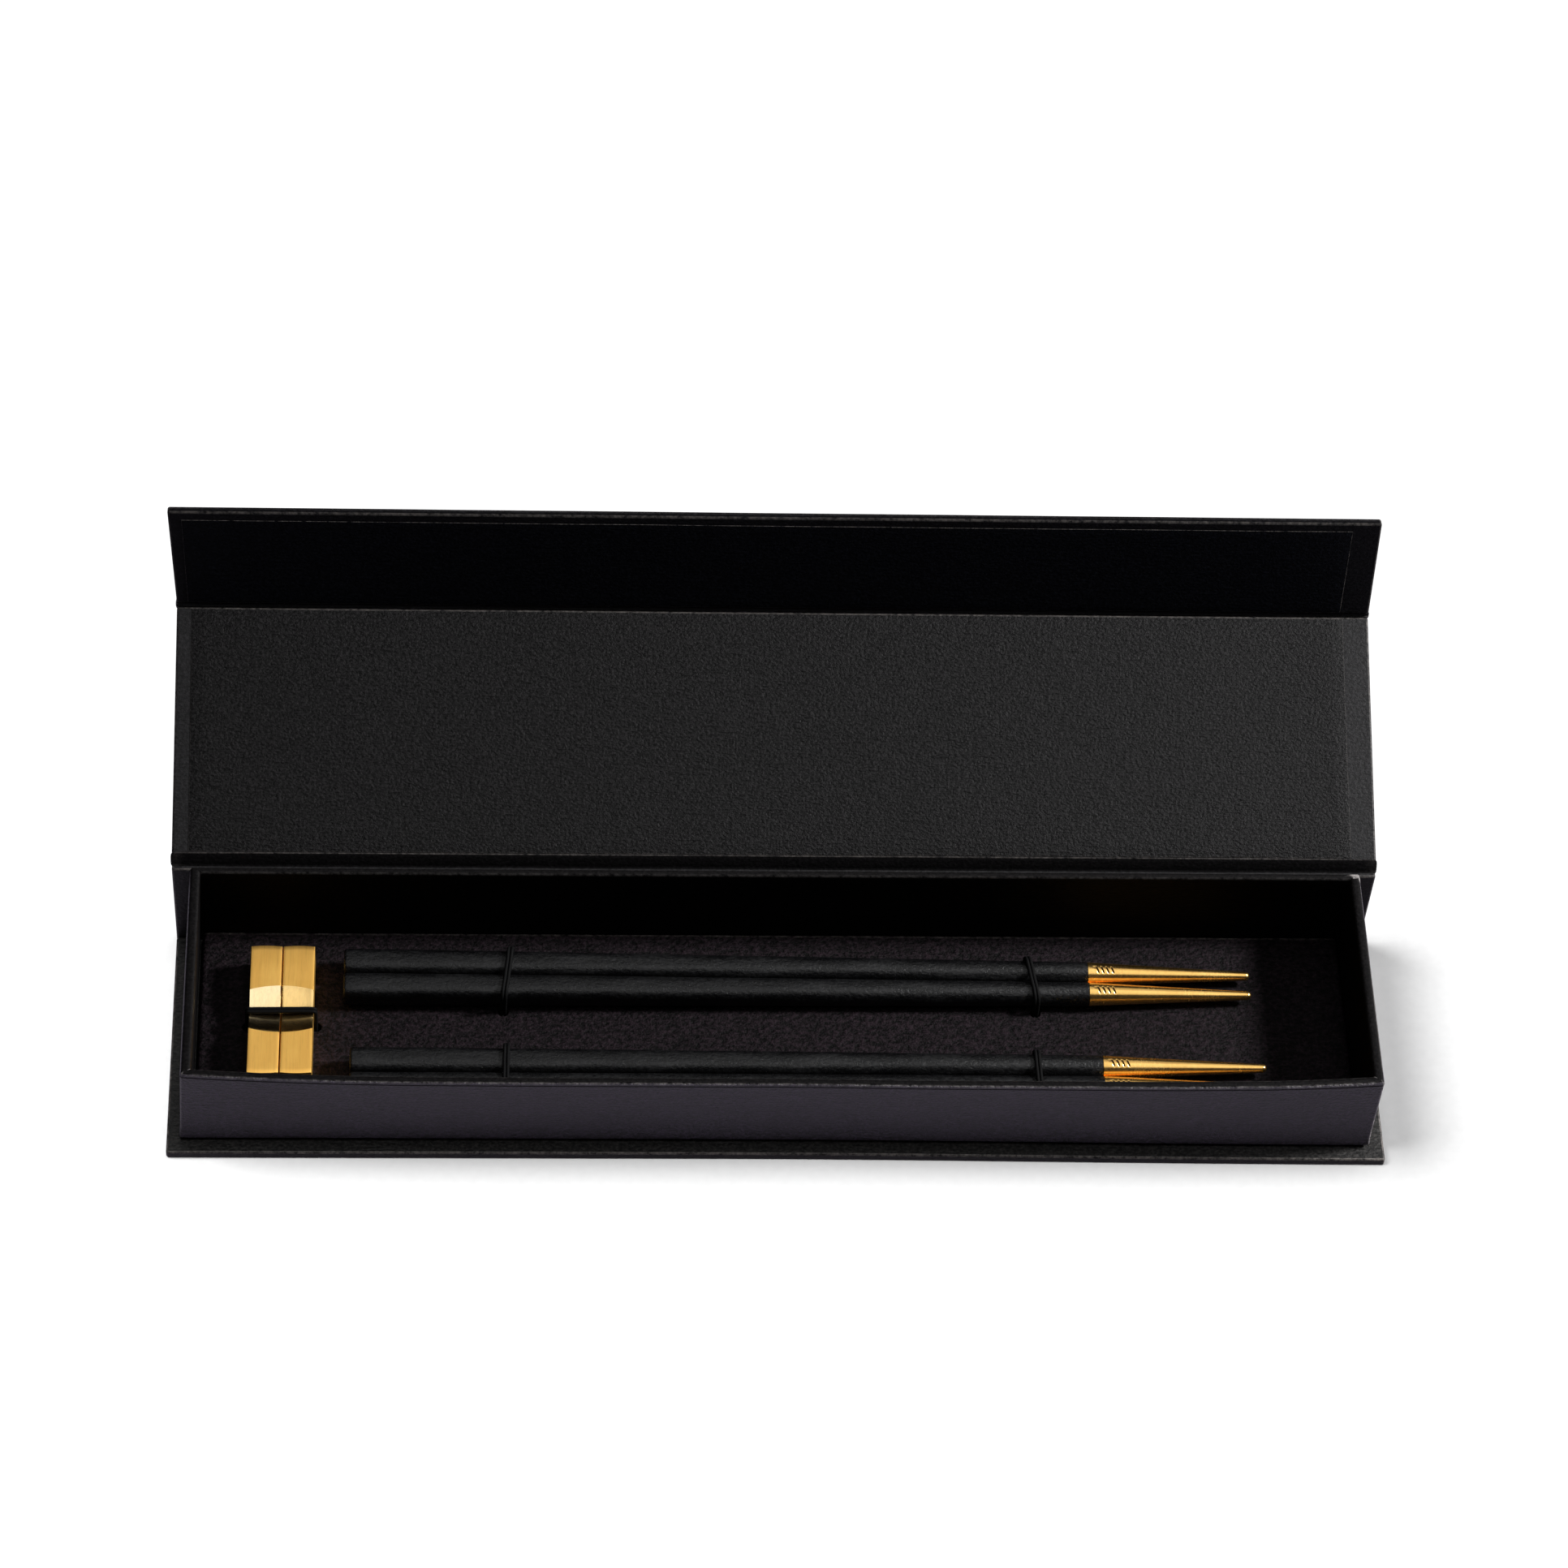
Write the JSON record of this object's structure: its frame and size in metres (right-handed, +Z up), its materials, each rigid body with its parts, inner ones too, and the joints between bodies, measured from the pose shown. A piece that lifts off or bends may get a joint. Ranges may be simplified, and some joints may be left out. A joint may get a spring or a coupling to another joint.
{
  "type": "boxed chopstick set",
  "caption": "Rigid black book-style gift case with a folding flap, holding paired metal-tipped chopsticks and scooped chopstick rests under elastic loops.",
  "frame": {"origin": "centre of the base's underside, on the surface that the case stands on", "axes": "+X along the case's long side, +Y from the open front to the spine, +Z up"},
  "size_m": [0.304, 0.1353, 0.0899],
  "materials": {
    "board": "matte",
    "wrap_paper": "fine-textured matte",
    "liner_paper": "fine-textured matte",
    "card": "matte",
    "elastic": "woven",
    "shaft": "satin",
    "gold": "finely brushed satin",
    "magnet": "plain plated"
  },
  "bodies": {
    "case": {"base_board": "board", "base_wrap": "wrap_paper", "spine_board": "board", "spine_wrap": "wrap_paper", "tray_floor": "board", "tray_wall_front": "board", "tray_wall_rear": "board", "tray_wall_left": "board", "tray_wall_right": "board", "tray_wrap": "wrap_paper", "tray_magnets": "magnet", "insert_card": "card", "elastic_barbs": "magnet", "loop_rear_left": "elastic", "loop_rear_right": "elastic", "loop_front_left": "elastic", "loop_front_right": "elastic", "loop_rests": "elastic", "lid_hinge": "wrap_paper"},
    "lid": {"lid_board": "board", "lid_wrap": "wrap_paper", "lid_liner": "liner_paper", "flap_hinge": "wrap_paper"},
    "flap": {"flap_board": "board", "flap_wrap": "wrap_paper", "flap_liner": "liner_paper", "flap_magnets": "magnet"},
    "stick_1": {"stick_1_shaft": "shaft", "stick_1_tip": "gold"},
    "stick_2": {"stick_2_shaft": "shaft", "stick_2_tip": "gold"},
    "stick_3": {"stick_3_shaft": "shaft", "stick_3_tip": "gold"},
    "stick_4": {"stick_4_shaft": "shaft", "stick_4_tip": "gold"},
    "rest_left": {"rest_left": "gold"},
    "rest_right": {"rest_right": "gold"}
  },
  "joints": [
    {"name": "lid_fold", "type": "hinge", "parent": "case", "child": "lid", "pos_m": [0, 0.03375, 0.0333], "axis": [-1, 0, 0], "range_deg": [-156.3, 40], "deforming": ["lid_hinge"]},
    {"name": "flap_fold", "type": "hinge", "parent": "lid", "child": "flap", "pos_m": [0, 0.09423, 0.05985], "axis": [-1, 0, 0], "range_deg": [-36.2, 53.8], "deforming": ["flap_hinge"]},
    {"name": "stick_1_lift", "type": "slide", "parent": "case", "child": "stick_1", "axis": [0, 0, 1], "range_m": [0, 0.06], "deforming": ["loop_rear_left", "loop_rear_right"]},
    {"name": "stick_2_lift", "type": "slide", "parent": "case", "child": "stick_2", "axis": [0, 0, 1], "range_m": [0, 0.06], "deforming": ["loop_rear_left", "loop_rear_right"]},
    {"name": "stick_3_lift", "type": "slide", "parent": "case", "child": "stick_3", "axis": [0, 0, 1], "range_m": [0, 0.06], "deforming": ["loop_front_left", "loop_front_right"]},
    {"name": "stick_4_lift", "type": "slide", "parent": "case", "child": "stick_4", "axis": [0, 0, 1], "range_m": [0, 0.06], "deforming": ["loop_front_left", "loop_front_right"]},
    {"name": "rest_left_lift", "type": "slide", "parent": "case", "child": "rest_left", "axis": [0, 0, 1], "range_m": [0, 0.06], "deforming": ["loop_rests"]},
    {"name": "rest_right_lift", "type": "slide", "parent": "case", "child": "rest_right", "axis": [0, 0, 1], "range_m": [0, 0.06], "deforming": ["loop_rests"]}
  ]
}
